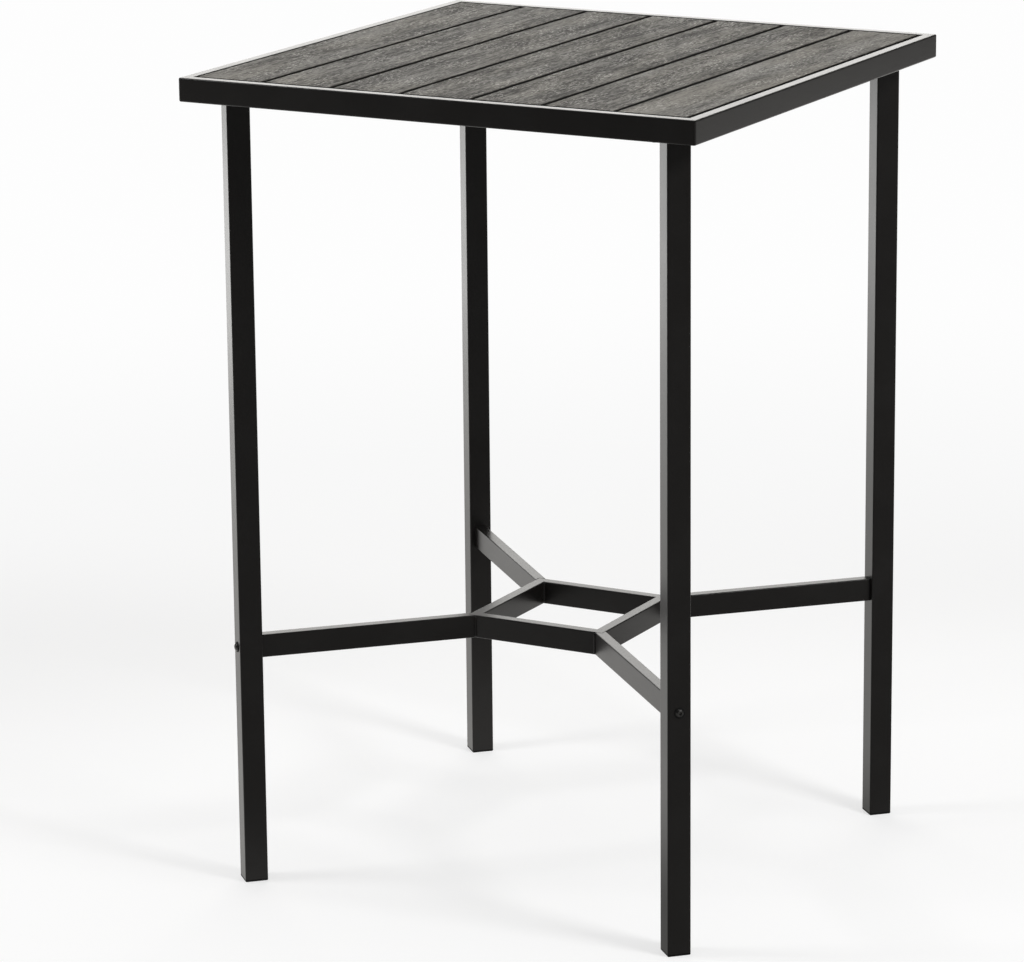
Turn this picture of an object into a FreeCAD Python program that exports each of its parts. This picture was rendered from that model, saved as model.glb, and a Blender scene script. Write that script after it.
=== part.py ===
import FreeCAD, Part

import math
import os

import Sketcher

# Square bar-height patio table: a welded tube rim holding plank slats, four tube legs turned
# to face the diagonals, and a low stretcher of four arms meeting in a square hub.
# Millimetres. Origin on the floor under the middle of the top, X along the front rim,
# Y towards the back along the slats, Z up.

SIZES = {
    # Whole table
    "table_height": 1050.0,
    # Slats of the top
    "slat_count": 7,
    "slat_width": 90.0,
    "slat_thickness": 15.0,
    "slat_edge_radius": 1.0,
    "slat_gap": 7.0,
    "slat_left_gap": 1.0,
    "slat_right_gap": 7.0,
    "slat_front_gap": 7.0,
    "slat_back_gap": 1.0,
    "slat_drop": 0.5,
    # Rim tube around the slats
    "rim_width": 15.0,
    "rim_wall": 1.5,
    "rim_radius": 2.0,
    # Flat bars that carry the slat ends
    "ledge_width": 20.0,
    "ledge_thickness": 4.0,
    # Cross rails that the slats are screwed to
    "rail_width": 25.0,
    "rail_height": 12.0,
    "rail_wall": 1.5,
    "rail_radius": 1.5,
    "rail_spacing": 222.0,
    # Screws from the rails up into the slats
    "screw_spacing": 50.0,
    "screw_diameter": 4.0,
    "screw_bite": 9.0,
    "screw_tip_room": 1.0,
    "screw_head_diameter": 8.0,
    "screw_head_height": 2.4,
    "screw_drive_length": 4.4,
    "screw_drive_width": 1.0,
    "screw_drive_depth": 1.2,
    # Tapped gusset in each corner of the rim
    "gusset_thickness": 5.0,
    "gusset_margin": 14.0,
    "gusset_headroom": 1.5,
    # Plate on top of each leg
    "leg_plate_thickness": 4.0,
    "leg_plate_margin": 11.0,
    "leg_plate_wing": 30.0,
    "leg_plate_clearance": 1.5,
    # Legs
    "leg_side": 30.0,
    "leg_wall": 1.5,
    "leg_radius": 2.0,
    "leg_inset": 51.0,
    # Plastic foot in each leg
    "foot_flange": 3.0,
    "foot_chamfer": 0.8,
    "foot_plug_depth": 18.0,
    "foot_plug_wall": 2.0,
    # Stretcher tube, its hub and its arms
    "stretcher_height": 313.0,
    "bar_width": 15.0,
    "bar_height": 30.0,
    "bar_wall": 1.5,
    "bar_radius": 1.5,
    "hub_opening": 165.0,
    "arm_plug_length": 20.0,
    # Bolts at the leg tops and at the stretcher
    "bolt_diameter": 6.0,
    "bolt_head_diameter": 10.5,
    "bolt_head_height": 3.3,
    "bolt_socket_width": 4.0,
    "bolt_socket_depth": 2.0,
    "stretcher_bolt_bite": 15.0,
    "leg_bolt_margin": 13.0,
    "leg_bolt_edge": 11.0,
    "washer_diameter": 12.0,
    "washer_thickness": 1.2,
    "sleeve_wall": 1.5,
    # Fits, as differences of diameter or of width
    "hole_clearance": 0.5,
    "thread_clearance": 0.1,
    "plug_clearance": 0.2,
    # How far a cut runs past the metal
    "cut_overrun": 2.0,
}

# Shares of a bolt or screw head: its straight edge, and the flat on its crown
HEAD_EDGE_SHARE = 0.3
HEAD_CROWN_SHARE = 0.62

# Corners of the table, counter-clockwise from above, with the signs of X and Y there
CORNERS = (
    ("front_left", -1, -1),
    ("front_right", 1, -1),
    ("back_right", 1, 1),
    ("back_left", -1, 1),
)

# Sides of the table in the same order, with the signs of X and Y of the side's middle
SIDES = (
    ("front", 0, -1),
    ("right", 1, 0),
    ("back", 0, 1),
    ("left", -1, 0),
)

# Derived sizes, as expressions on the sheet
SLAT_PITCH = "(Sizes.slat_width + Sizes.slat_gap)"
DECK_WIDTH = f"(Sizes.slat_count * {SLAT_PITCH} - Sizes.slat_gap)"
INNER_SIDE = f"({DECK_WIDTH} + Sizes.slat_left_gap + Sizes.slat_right_gap)"
TOP_SIDE = f"({INNER_SIDE} + 2 * Sizes.rim_width)"
SLAT_LENGTH = f"({INNER_SIDE} - Sizes.slat_front_gap - Sizes.slat_back_gap)"
SLAT_SHIFT = "((Sizes.slat_front_gap - Sizes.slat_back_gap) / 2)"
FIRST_SLAT = f"(Sizes.slat_left_gap + Sizes.slat_width / 2 - {INNER_SIDE} / 2)"

# The rim is as deep as the stack that it hides
CORNER_STACK = "(Sizes.gusset_thickness + Sizes.leg_plate_thickness)"
RIM_HEIGHT = (
    "(Sizes.slat_drop + Sizes.slat_thickness + Sizes.ledge_thickness"
    f" + Sizes.gusset_headroom + {CORNER_STACK})"
)
RIM_BOTTOM = f"(Sizes.table_height - {RIM_HEIGHT})"
SLAT_BOTTOM = "(Sizes.table_height - Sizes.slat_drop - Sizes.slat_thickness)"

# Legs stand on the diagonals, measured from the middle and from the rim's inner corner
LEG_OFFSET = f"({TOP_SIDE} / 2 - Sizes.leg_inset)"
LEG_DIAGONAL = f"({LEG_OFFSET} * sqrt(2))"
LEG_FROM_CORNER = "(Sizes.leg_inset - Sizes.rim_width)"

# Leg bolts, in a frame with its origin in the rim's inner corner and both axes along the rim
BOLT_FROM_LEG = "(Sizes.leg_side / 2 + Sizes.leg_bolt_margin)"
INNER_BOLT = f"({LEG_FROM_CORNER} + {BOLT_FROM_LEG} / sqrt(2))"
SIDE_BOLT = f"(Sizes.leg_bolt_edge + {BOLT_FROM_LEG} * sqrt(2))"
LEG_BOLT_PLACES = (
    (SIDE_BOLT, "Sizes.leg_bolt_edge"),
    ("Sizes.leg_bolt_edge", SIDE_BOLT),
    (INNER_BOLT, INNER_BOLT),
)

# Stretcher: the arms run along the diagonals from the hub's corners to the legs
HUB_SIDE = "(Sizes.hub_opening + 2 * Sizes.bar_width)"
ARM_START = f"({HUB_SIDE} / sqrt(2) - Sizes.bar_width / 2)"
ARM_END = f"({LEG_DIAGONAL} - Sizes.leg_side / 2)"
ARM_LENGTH = f"({ARM_END} - {ARM_START})"

BOLT_HOLE = "(Sizes.bolt_diameter + Sizes.hole_clearance)"
TAPPED_HOLE = "(Sizes.bolt_diameter + Sizes.thread_clearance)"

doc = FreeCAD.newDocument("bar_table")
sheet = doc.addObject("Spreadsheet::Sheet", "Sizes")
for row, (alias, size) in enumerate(SIZES.items(), start=1):
    sheet.set(f"A{row}", alias)
    sheet.set(f"B{row}", str(size))
    sheet.setAlias(f"B{row}", alias)
doc.recompute()

nodes = []


def value(expression):
    """Give the number that an expression on the sheet comes to."""
    return float(sheet.evalExpression(expression))


def vector(point):
    """Give a sketch point, a pair of expressions, as a vector."""
    return FreeCAD.Vector(value(point[0]), value(point[1]), 0)


def new_body(name):
    """Add an empty body."""
    return doc.addObject("PartDesign::Body", name)


def new_sketch(body, role, name, lift=None):
    """Add a sketch on one of the body's origin planes, lifted off it by an expression if given."""
    sketch = body.newObject("Sketcher::SketchObject", name)
    plane = [feature for feature in body.Origin.OriginFeatures if feature.Role == role][0]
    sketch.AttachmentSupport = [(plane, "")]
    sketch.MapMode = "FlatFace"
    if lift:
        sketch.setExpression("AttachmentOffset.Base.z", lift)
    return sketch


def bind_constraint(sketch, constraint, expression):
    """Add a dimension to a sketch and tie it to an expression."""
    index = sketch.addConstraint(constraint)
    sketch.setExpression(f"Constraints[{index}]", expression)


def pin(sketch, geometry, end, point):
    """Hold one end of a sketch line, or a circle's centre, at a point given as expressions."""
    for kind, axis, place in (("DistanceX", -2, point[0]), ("DistanceY", -1, point[1])):
        if place == "0":
            sketch.addConstraint(Sketcher.Constraint("PointOnObject", geometry, end, axis))
        else:
            distance = Sketcher.Constraint(kind, -1, 1, geometry, end, value(place))
            bind_constraint(sketch, distance, place)


def draw_outline(sketch, points):
    """Draw a closed outline of straight lines through points given as expressions."""
    count = len(points)
    lines = []
    for index, point in enumerate(points):
        line = Part.LineSegment(vector(point), vector(points[(index + 1) % count]))
        lines.append(sketch.addGeometry(line))
    for index, point in enumerate(points):
        pin(sketch, lines[index], 1, point)
        sketch.addConstraint(Sketcher.Constraint("Coincident", lines[index - 1], 2, lines[index], 1))


def draw_rectangle(sketch, width, height):
    """Draw a rectangle centred on the sketch's origin."""
    right = f"({width} / 2)"
    top = f"({height} / 2)"
    draw_outline(sketch, ((f"-{right}", f"-{top}"), (right, f"-{top}"), (right, top), (f"-{right}", top)))


def draw_rounded_rectangle(sketch, width, height, radius, middle="0"):
    """Draw a rectangle with round corners, its centre on the sketch's Y axis at the given height."""
    right = f"({width} / 2)"
    inner_right = f"({right} - {radius})"
    low = f"({middle} - {height} / 2)"
    high = f"({middle} + {height} / 2)"
    inner_low = f"({low} + {radius})"
    inner_high = f"({high} - {radius})"
    sides = (
        ((right, inner_low), (right, inner_high)),
        ((inner_right, high), (f"-{inner_right}", high)),
        ((f"-{right}", inner_high), (f"-{right}", inner_low)),
        ((f"-{inner_right}", low), (inner_right, low)),
    )
    centres = (
        (inner_right, inner_high),
        (f"-{inner_right}", inner_high),
        (f"-{inner_right}", inner_low),
        (inner_right, inner_low),
    )
    lines = []
    for start, finish in sides:
        line = sketch.addGeometry(Part.LineSegment(vector(start), vector(finish)))
        pin(sketch, line, 1, start)
        pin(sketch, line, 2, finish)
        lines.append(line)
    for index, centre in enumerate(centres):
        circle = Part.Circle(vector(centre), FreeCAD.Vector(0, 0, 1), value(radius))
        quarter = math.pi / 2
        arc = sketch.addGeometry(Part.ArcOfCircle(circle, index * quarter, (index + 1) * quarter))
        following = lines[(index + 1) % len(lines)]
        sketch.addConstraint(Sketcher.Constraint("Coincident", arc, 1, lines[index], 2))
        sketch.addConstraint(Sketcher.Constraint("Coincident", arc, 2, following, 1))
        bind_constraint(sketch, Sketcher.Constraint("Radius", arc, value(radius)), radius)


def draw_circle(sketch, centre, diameter):
    """Draw a circle round a centre given as expressions."""
    circle = Part.Circle(vector(centre), FreeCAD.Vector(0, 0, 1), value(diameter) / 2)
    geometry = sketch.addGeometry(circle)
    pin(sketch, geometry, 3, centre)
    bind_constraint(sketch, Sketcher.Constraint("Diameter", geometry, value(diameter)), diameter)


def draw_tube_section(sketch, width, height, wall, radius):
    """Draw a hollow tube section: round outer corners, square inner ones."""
    draw_rounded_rectangle(sketch, width, height, radius)
    draw_rectangle(sketch, f"({width} - 2 * {wall})", f"({height} - 2 * {wall})")


def add_pad(body, sketch, name, length, both_ways=False):
    """Pad a sketch by a length, or by half of it to each side."""
    pad = body.newObject("PartDesign::Pad", name)
    pad.Profile = sketch
    pad.SideType = "Symmetric" if both_ways else "One side"
    pad.setExpression("Length", length)
    doc.recompute()
    return pad


def check_cut(body, before, name):
    """Stop if a cut has taken nothing away."""
    if body.Shape.Volume >= before:
        raise RuntimeError(f"{name} of {body.Label} cuts nothing")


def cut_through(body, sketch, name):
    """Cut a sketch right through the body, to both sides of its plane."""
    before = body.Shape.Volume
    pocket = body.newObject("PartDesign::Pocket", name)
    pocket.Profile = sketch
    pocket.Type = "ThroughAll"
    pocket.SideType = "Symmetric"
    doc.recompute()
    check_cut(body, before, name)


def cut_blind(body, sketch, name, depth, upwards):
    """Cut a sketch to a depth, up or down from its level plane."""
    before = body.Shape.Volume
    pocket = body.newObject("PartDesign::Pocket", name)
    pocket.Profile = sketch
    pocket.Type = "Length"
    pocket.Reversed = upwards
    pocket.setExpression("Length", depth)
    doc.recompute()
    check_cut(body, before, name)


def turn_about_z(degrees):
    """Give a rotation about the vertical."""
    return FreeCAD.Rotation(FreeCAD.Vector(0, 0, 1), degrees)


def place(item, rotation, x, y, z, prefix="Placement"):
    """Turn an object and tie its place to expressions."""
    setattr(item, prefix, FreeCAD.Placement(FreeCAD.Vector(0, 0, 0), rotation))
    for axis, expression in (("x", x), ("y", y), ("z", z)):
        item.setExpression(f"{prefix}.Base.{axis}", expression)


def outward_turn(corner):
    """Give the angle that turns +X outwards along a corner's diagonal."""
    return math.degrees(math.atan2(CORNERS[corner][2], CORNERS[corner][1]))


def place_on_diagonal(item, corner, distance, z, prefix="Placement", tilt=None):
    """Place an object at a distance from the middle along a corner's diagonal, +X outwards."""
    rotation = turn_about_z(outward_turn(corner))
    if tilt:
        rotation = rotation.multiply(tilt)
    x, y = (f"{sign} * {distance} / sqrt(2)" for sign in CORNERS[corner][1:])
    place(item, rotation, x, y, z, prefix)


def place_in_corner(item, corner, z):
    """Place an object in the rim's inner corner, +X and +Y along the rim."""
    x, y = (f"{sign} * {INNER_SIDE} / 2" for sign in CORNERS[corner][1:])
    place(item, turn_about_z(90 * corner), x, y, z)


def add_mitred_bar(name, length, width, height, wall, radius):
    """Add a tube along X with mitred ends, its longer side facing -Y."""
    body = new_body(name)
    section = new_sketch(body, "YZ_Plane", "section")
    draw_tube_section(section, width, height, wall, radius)
    add_pad(body, section, "tube", length, both_ways=True)
    mitre = new_sketch(body, "XY_Plane", "mitre_outline")
    over = "Sizes.cut_overrun"
    tip = f"({length} / 2 + {over})"
    heel = f"({length} / 2 - {width} - {over})"
    outer = f"(-{width} / 2 - {over})"
    inner = f"({width} / 2 + {over})"
    draw_outline(mitre, ((tip, outer), (tip, inner), (heel, inner)))
    draw_outline(mitre, ((f"-{tip}", outer), (f"-{heel}", inner), (f"-{tip}", inner)))
    cut_through(body, mitre, "mitres")
    return body


def place_on_side(body, side, length, width, z):
    """Place a bar along one side of a square whose outer side is the given length."""
    reach = f"({length} - {width}) / 2"
    x, y = (f"{sign} * {reach}" for sign in SIDES[side][1:])
    place(body, turn_about_z(90 * side), x, y, z)


def build_rim():
    """Build the four mitred tubes of the rim."""
    middle = f"{RIM_BOTTOM} + {RIM_HEIGHT} / 2"
    for side, (label, _, _) in enumerate(SIDES):
        bar = add_mitred_bar(
            f"rim_{label}", TOP_SIDE, "Sizes.rim_width", RIM_HEIGHT, "Sizes.rim_wall", "Sizes.rim_radius"
        )
        place_on_side(bar, side, TOP_SIDE, "Sizes.rim_width", middle)
        nodes.append(bar)


def build_slats():
    """Build the planks of the top, each with pilot holes for its four screws."""
    for index in range(int(value("Sizes.slat_count"))):
        body = new_body(f"slat_{index + 1}")
        section = new_sketch(body, "XZ_Plane", "section")
        draw_rounded_rectangle(
            section,
            "Sizes.slat_width",
            "Sizes.slat_thickness",
            "Sizes.slat_edge_radius",
            middle="Sizes.slat_thickness / 2",
        )
        add_pad(body, section, "plank", SLAT_LENGTH, both_ways=True)
        pilots = new_sketch(body, "XY_Plane", "pilot_holes")
        for x in ("-Sizes.screw_spacing / 2", "Sizes.screw_spacing / 2"):
            for y in (f"-Sizes.rail_spacing / 2 - {SLAT_SHIFT}", f"Sizes.rail_spacing / 2 - {SLAT_SHIFT}"):
                draw_circle(pilots, (x, y), "(Sizes.screw_diameter + Sizes.thread_clearance)")
        cut_blind(body, pilots, "pilots", "Sizes.screw_bite + Sizes.screw_tip_room", upwards=True)
        place(body, turn_about_z(0), f"{FIRST_SLAT} + {index} * {SLAT_PITCH}", SLAT_SHIFT, SLAT_BOTTOM)
        nodes.append(body)


def build_ledges():
    """Build the flat bars inside the front and back rim that carry the slat ends."""
    for label, sign in (("front", -1), ("back", 1)):
        body = new_body(f"slat_ledge_{label}")
        outline = new_sketch(body, "XY_Plane", "outline")
        draw_rectangle(outline, INNER_SIDE, "Sizes.ledge_width")
        add_pad(body, outline, "flat_bar", "Sizes.ledge_thickness")
        y = f"{sign} * ({INNER_SIDE} - Sizes.ledge_width) / 2"
        place(body, turn_about_z(0), "0", y, f"{SLAT_BOTTOM} - Sizes.ledge_thickness")
        nodes.append(body)


def build_rails():
    """Build the two cross rails under the slats, drilled for the slat screws."""
    for label, sign in (("front", -1), ("back", 1)):
        body = new_body(f"cross_rail_{label}")
        section = new_sketch(body, "YZ_Plane", "section")
        draw_tube_section(
            section, "Sizes.rail_width", "Sizes.rail_height", "Sizes.rail_wall", "Sizes.rail_radius"
        )
        add_pad(body, section, "tube", INNER_SIDE, both_ways=True)
        holes = new_sketch(body, "XY_Plane", "screw_holes")
        for x in slat_screw_columns():
            draw_circle(holes, (x, "0"), "(Sizes.screw_diameter + Sizes.hole_clearance)")
        cut_through(body, holes, "drilling")
        y = f"{sign} * Sizes.rail_spacing / 2"
        place(body, turn_about_z(0), "0", y, f"{SLAT_BOTTOM} - Sizes.rail_height / 2")
        nodes.append(body)


def slat_screw_columns():
    """Give the X of every screw along a rail, two to each slat."""
    columns = []
    for index in range(int(value("Sizes.slat_count"))):
        middle = f"{FIRST_SLAT} + {index} * {SLAT_PITCH}"
        columns += [f"({middle} - Sizes.screw_spacing / 2)", f"({middle} + Sizes.screw_spacing / 2)"]
    return columns


def build_gussets():
    """Build the tapped triangular plates welded into the rim's corners."""
    reach = f"({INNER_BOLT} * 2 + Sizes.gusset_margin * sqrt(2))"
    for corner, (label, _, _) in enumerate(CORNERS):
        body = new_body(f"corner_gusset_{label}")
        outline = new_sketch(body, "XY_Plane", "outline")
        draw_outline(outline, (("0", "0"), (reach, "0"), ("0", reach)))
        for centre in LEG_BOLT_PLACES:
            draw_circle(outline, centre, TAPPED_HOLE)
        add_pad(body, outline, "plate", "Sizes.gusset_thickness")
        place_in_corner(body, corner, f"{RIM_BOTTOM} + Sizes.leg_plate_thickness")
        nodes.append(body)


def build_leg_plates():
    """Build the plates welded on the leg tops, which bolt up against the gussets."""
    edge = "Sizes.leg_plate_clearance"
    wing = f"({SIDE_BOLT} + Sizes.leg_plate_wing)"
    shoulder = f"({INNER_BOLT} * 2 + Sizes.leg_plate_margin * sqrt(2) - {wing})"
    for corner, (label, _, _) in enumerate(CORNERS):
        body = new_body(f"leg_plate_{label}")
        outline = new_sketch(body, "XY_Plane", "outline")
        points = ((edge, edge), (wing, edge), (wing, shoulder), (shoulder, wing), (edge, wing))
        draw_outline(outline, points)
        for centre in LEG_BOLT_PLACES:
            draw_circle(outline, centre, BOLT_HOLE)
        add_pad(body, outline, "plate", "Sizes.leg_plate_thickness")
        place_in_corner(body, corner, RIM_BOTTOM)
        nodes.append(body)


def build_legs():
    """Build the leg tubes, drilled across the diagonal for the stretcher bolts."""
    for corner, (label, _, _) in enumerate(CORNERS):
        body = new_body(f"leg_{label}")
        section = new_sketch(body, "XY_Plane", "section")
        draw_tube_section(
            section, "Sizes.leg_side", "Sizes.leg_side", "Sizes.leg_wall", "Sizes.leg_radius"
        )
        add_pad(body, section, "tube", f"{RIM_BOTTOM} - Sizes.foot_flange")
        hole = new_sketch(body, "YZ_Plane", "bolt_hole")
        draw_circle(hole, ("0", "(Sizes.stretcher_height - Sizes.foot_flange)"), BOLT_HOLE)
        cut_through(body, hole, "drilling")
        place_on_diagonal(body, corner, LEG_DIAGONAL, "Sizes.foot_flange")
        nodes.append(body)


def build_feet():
    """Build the plastic feet: a flange under the tube's end and a hollow plug inside it."""
    plug = "(Sizes.leg_side - 2 * Sizes.leg_wall - Sizes.plug_clearance)"
    bore = f"({plug} - 2 * Sizes.foot_plug_wall)"
    for corner, (label, _, _) in enumerate(CORNERS):
        body = new_body(f"foot_cap_{label}")
        outline = new_sketch(body, "XY_Plane", "flange_outline")
        draw_rounded_rectangle(outline, "Sizes.leg_side", "Sizes.leg_side", "Sizes.leg_radius")
        flange = add_pad(body, outline, "flange", "Sizes.foot_flange")
        low_edges = [
            f"Edge{index}"
            for index, edge in enumerate(flange.Shape.Edges, start=1)
            if edge.BoundBox.ZMax < value("Sizes.foot_flange") / 2
        ]
        chamfer = body.newObject("PartDesign::Chamfer", "floor_chamfer")
        chamfer.Base = (flange, low_edges)
        chamfer.setExpression("Size", "Sizes.foot_chamfer")
        doc.recompute()
        section = new_sketch(body, "XY_Plane", "plug_section", lift="Sizes.foot_flange")
        draw_rectangle(section, plug, plug)
        draw_rectangle(section, bore, bore)
        add_pad(body, section, "plug", "Sizes.foot_plug_depth")
        place_on_diagonal(body, corner, LEG_DIAGONAL, "0")
        nodes.append(body)


def build_hub():
    """Build the four mitred tubes of the stretcher's square hub."""
    for side, (label, _, _) in enumerate(SIDES):
        bar = add_mitred_bar(
            f"hub_bar_{label}",
            HUB_SIDE,
            "Sizes.bar_width",
            "Sizes.bar_height",
            "Sizes.bar_wall",
            "Sizes.bar_radius",
        )
        place_on_side(bar, side, HUB_SIDE, "Sizes.bar_width", "Sizes.stretcher_height")
        nodes.append(bar)


def build_arms():
    """Build the stretcher arms, notched to sit round the hub's corners and square at the legs."""
    half = "(Sizes.bar_width / 2)"
    flare = f"({half} + Sizes.cut_overrun)"
    for corner, (label, _, _) in enumerate(CORNERS):
        body = new_body(f"stretcher_arm_{label}")
        section = new_sketch(body, "YZ_Plane", "section")
        draw_tube_section(
            section, "Sizes.bar_width", "Sizes.bar_height", "Sizes.bar_wall", "Sizes.bar_radius"
        )
        add_pad(body, section, "tube", ARM_LENGTH)
        notch = new_sketch(body, "XY_Plane", "notch_outline")
        back = "-Sizes.cut_overrun"
        draw_outline(notch, ((half, "0"), (back, flare), (back, f"-{flare}")))
        cut_through(body, notch, "notch")
        place_on_diagonal(body, corner, ARM_START, "Sizes.stretcher_height")
        nodes.append(body)


def build_arm_plugs():
    """Build the tapped blocks that close the arms' outer ends."""
    inside = "- 2 * Sizes.bar_wall - Sizes.plug_clearance"
    for corner, (label, _, _) in enumerate(CORNERS):
        body = new_body(f"arm_end_plug_{label}")
        section = new_sketch(body, "YZ_Plane", "section")
        draw_rectangle(section, f"(Sizes.bar_width {inside})", f"(Sizes.bar_height {inside})")
        draw_circle(section, ("0", "0"), TAPPED_HOLE)
        add_pad(body, section, "block", "Sizes.arm_plug_length")
        place_on_diagonal(body, corner, f"({ARM_END} - Sizes.arm_plug_length)", "Sizes.stretcher_height")
        nodes.append(body)


def draw_fastener_profile(sketch, diameter, length, head_diameter, head_height):
    """Draw half of a domed fastener: shank down from the origin, head up, axis on the sketch's Y."""
    shank = f"({diameter} / 2)"
    rim = f"({head_diameter} / 2)"
    edge = f"({head_height} * {HEAD_EDGE_SHARE})"
    crown = f"({rim} * {HEAD_CROWN_SHARE})"
    points = (
        (crown, head_height),
        ("0", head_height),
        ("0", f"-{length}"),
        (shank, f"-{length}"),
        (shank, "0"),
        (rim, "0"),
        (rim, edge),
    )
    lines = []
    for start, finish in zip(points[:-1], points[1:]):
        line = sketch.addGeometry(Part.LineSegment(vector(start), vector(finish)))
        pin(sketch, line, 1, start)
        lines.append(line)
    for line, following in zip(lines[:-1], lines[1:]):
        sketch.addConstraint(Sketcher.Constraint("Coincident", line, 2, following, 1))
    pin(sketch, lines[-1], 2, points[-1])
    low = vector(points[-1])
    high = vector(points[0])
    centre_y = (low.x**2 + low.y**2 - high.x**2 - high.y**2) / (2 * (low.y - high.y))
    centre = FreeCAD.Vector(0, centre_y, 0)
    circle = Part.Circle(centre, FreeCAD.Vector(0, 0, 1), low.distanceToPoint(centre))
    start_angle = math.atan2(low.y - centre_y, low.x)
    finish_angle = math.atan2(high.y - centre_y, high.x)
    dome = sketch.addGeometry(Part.ArcOfCircle(circle, start_angle, finish_angle))
    sketch.addConstraint(Sketcher.Constraint("Coincident", dome, 1, lines[-1], 2))
    sketch.addConstraint(Sketcher.Constraint("Coincident", dome, 2, lines[0], 1))
    sketch.addConstraint(Sketcher.Constraint("PointOnObject", dome, 3, -2))


def add_turned_fastener(name, diameter, length, head_diameter, head_height):
    """Add a domed fastener along Z, the underside of its head at the origin and its shank down."""
    body = new_body(name)
    profile = new_sketch(body, "XZ_Plane", "profile")
    draw_fastener_profile(profile, diameter, length, head_diameter, head_height)
    turning = body.newObject("PartDesign::Revolution", "turning")
    turning.Profile = profile
    turning.ReferenceAxis = (profile, ["V_Axis"])
    doc.recompute()
    return body


def add_bolt(name, length):
    """Add a button-head bolt with a hexagon socket."""
    body = add_turned_fastener(
        name, "Sizes.bolt_diameter", length, "Sizes.bolt_head_diameter", "Sizes.bolt_head_height"
    )
    flat = "(Sizes.bolt_socket_width / 2)"
    point = "(Sizes.bolt_socket_width / sqrt(3))"
    half = f"({point} / 2)"
    socket = new_sketch(body, "XY_Plane", "socket_outline", lift="Sizes.bolt_head_height")
    draw_outline(
        socket,
        (
            (point, "0"),
            (half, flat),
            (f"-{half}", flat),
            (f"-{point}", "0"),
            (f"-{half}", f"-{flat}"),
            (half, f"-{flat}"),
        ),
    )
    cut_blind(body, socket, "socket", "Sizes.bolt_socket_depth", upwards=False)
    return body


def add_slat_screw(name):
    """Add a pan-head screw with a cross recess."""
    length = "(Sizes.rail_height + Sizes.screw_bite)"
    body = add_turned_fastener(
        name, "Sizes.screw_diameter", length, "Sizes.screw_head_diameter", "Sizes.screw_head_height"
    )
    far = "(Sizes.screw_drive_length / 2)"
    near = "(Sizes.screw_drive_width / 2)"
    recess = new_sketch(body, "XY_Plane", "recess_outline", lift="Sizes.screw_head_height")
    draw_outline(
        recess,
        (
            (far, f"-{near}"),
            (far, near),
            (near, near),
            (near, far),
            (f"-{near}", far),
            (f"-{near}", near),
            (f"-{far}", near),
            (f"-{far}", f"-{near}"),
            (f"-{near}", f"-{near}"),
            (f"-{near}", f"-{far}"),
            (near, f"-{far}"),
            (near, f"-{near}"),
        ),
    )
    cut_blind(body, recess, "cross_recess", "Sizes.screw_drive_depth", upwards=False)
    return body


def add_ring(name, outer, inner, length):
    """Add a ring about Z, from the origin upwards."""
    body = new_body(name)
    outline = new_sketch(body, "XY_Plane", "outline")
    draw_circle(outline, ("0", "0"), outer)
    draw_circle(outline, ("0", "0"), inner)
    add_pad(body, outline, "ring", length)
    return body


def add_copy(original):
    """Add one more of a fastener, to be placed by itself."""
    copy = doc.addObject("App::Link", f"{original.Name}_copy")
    copy.LinkedObject = original
    copy.LinkTransform = False
    return copy


def add_group(name, copies):
    """Gather separate fasteners in one node."""
    group = doc.addObject("Part::Compound", name)
    group.Links = copies
    nodes.append(group)


def build_stretcher_fixings():
    """Build the bolts through the legs into the arms, and the sleeves that they pass inside the legs."""
    shank = "(Sizes.leg_side + Sizes.stretcher_bolt_bite)"
    sleeve_length = "(Sizes.leg_side - 2 * Sizes.leg_wall)"
    bolt = add_bolt("stretcher_bolt", shank)
    sleeve = add_ring("bolt_sleeve", f"({BOLT_HOLE} + 2 * Sizes.sleeve_wall)", BOLT_HOLE, sleeve_length)
    lying = FreeCAD.Rotation(FreeCAD.Vector(0, 1, 0), 90)
    bolts = []
    sleeves = []
    for corner in range(len(CORNERS)):
        bolts.append(add_copy(bolt))
        outer_face = f"({LEG_DIAGONAL} + Sizes.leg_side / 2)"
        place_on_diagonal(
            bolts[-1], corner, outer_face, "Sizes.stretcher_height", prefix="LinkPlacement", tilt=lying
        )
        sleeves.append(add_copy(sleeve))
        inner_wall = f"({LEG_DIAGONAL} - {sleeve_length} / 2)"
        place_on_diagonal(
            sleeves[-1], corner, inner_wall, "Sizes.stretcher_height", prefix="LinkPlacement", tilt=lying
        )
    add_group("stretcher_bolts", bolts)
    add_group("bolt_sleeves", sleeves)


def build_leg_fixings():
    """Build the bolts and washers that hold each leg plate up against its gusset."""
    shank = f"(Sizes.washer_thickness + {CORNER_STACK})"
    bolt = add_bolt("leg_bolt", shank)
    washer = add_ring("leg_bolt_washer", "Sizes.washer_diameter", BOLT_HOLE, "Sizes.washer_thickness")
    head_up = FreeCAD.Rotation(FreeCAD.Vector(0, 0, 1), 0)
    head_down = FreeCAD.Rotation(FreeCAD.Vector(1, 0, 0), 180)
    bolts = []
    washers = []
    seat = f"{RIM_BOTTOM} - Sizes.washer_thickness"
    for _, sign_x, sign_y in CORNERS:
        for along_x, along_y in LEG_BOLT_PLACES:
            x = f"{sign_x} * ({INNER_SIDE} / 2 - {along_x})"
            y = f"{sign_y} * ({INNER_SIDE} / 2 - {along_y})"
            bolts.append(add_copy(bolt))
            place(bolts[-1], head_down, x, y, seat, prefix="LinkPlacement")
            washers.append(add_copy(washer))
            place(washers[-1], head_up, x, y, seat, prefix="LinkPlacement")
    add_group("leg_bolts", bolts)
    add_group("leg_bolt_washers", washers)


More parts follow.
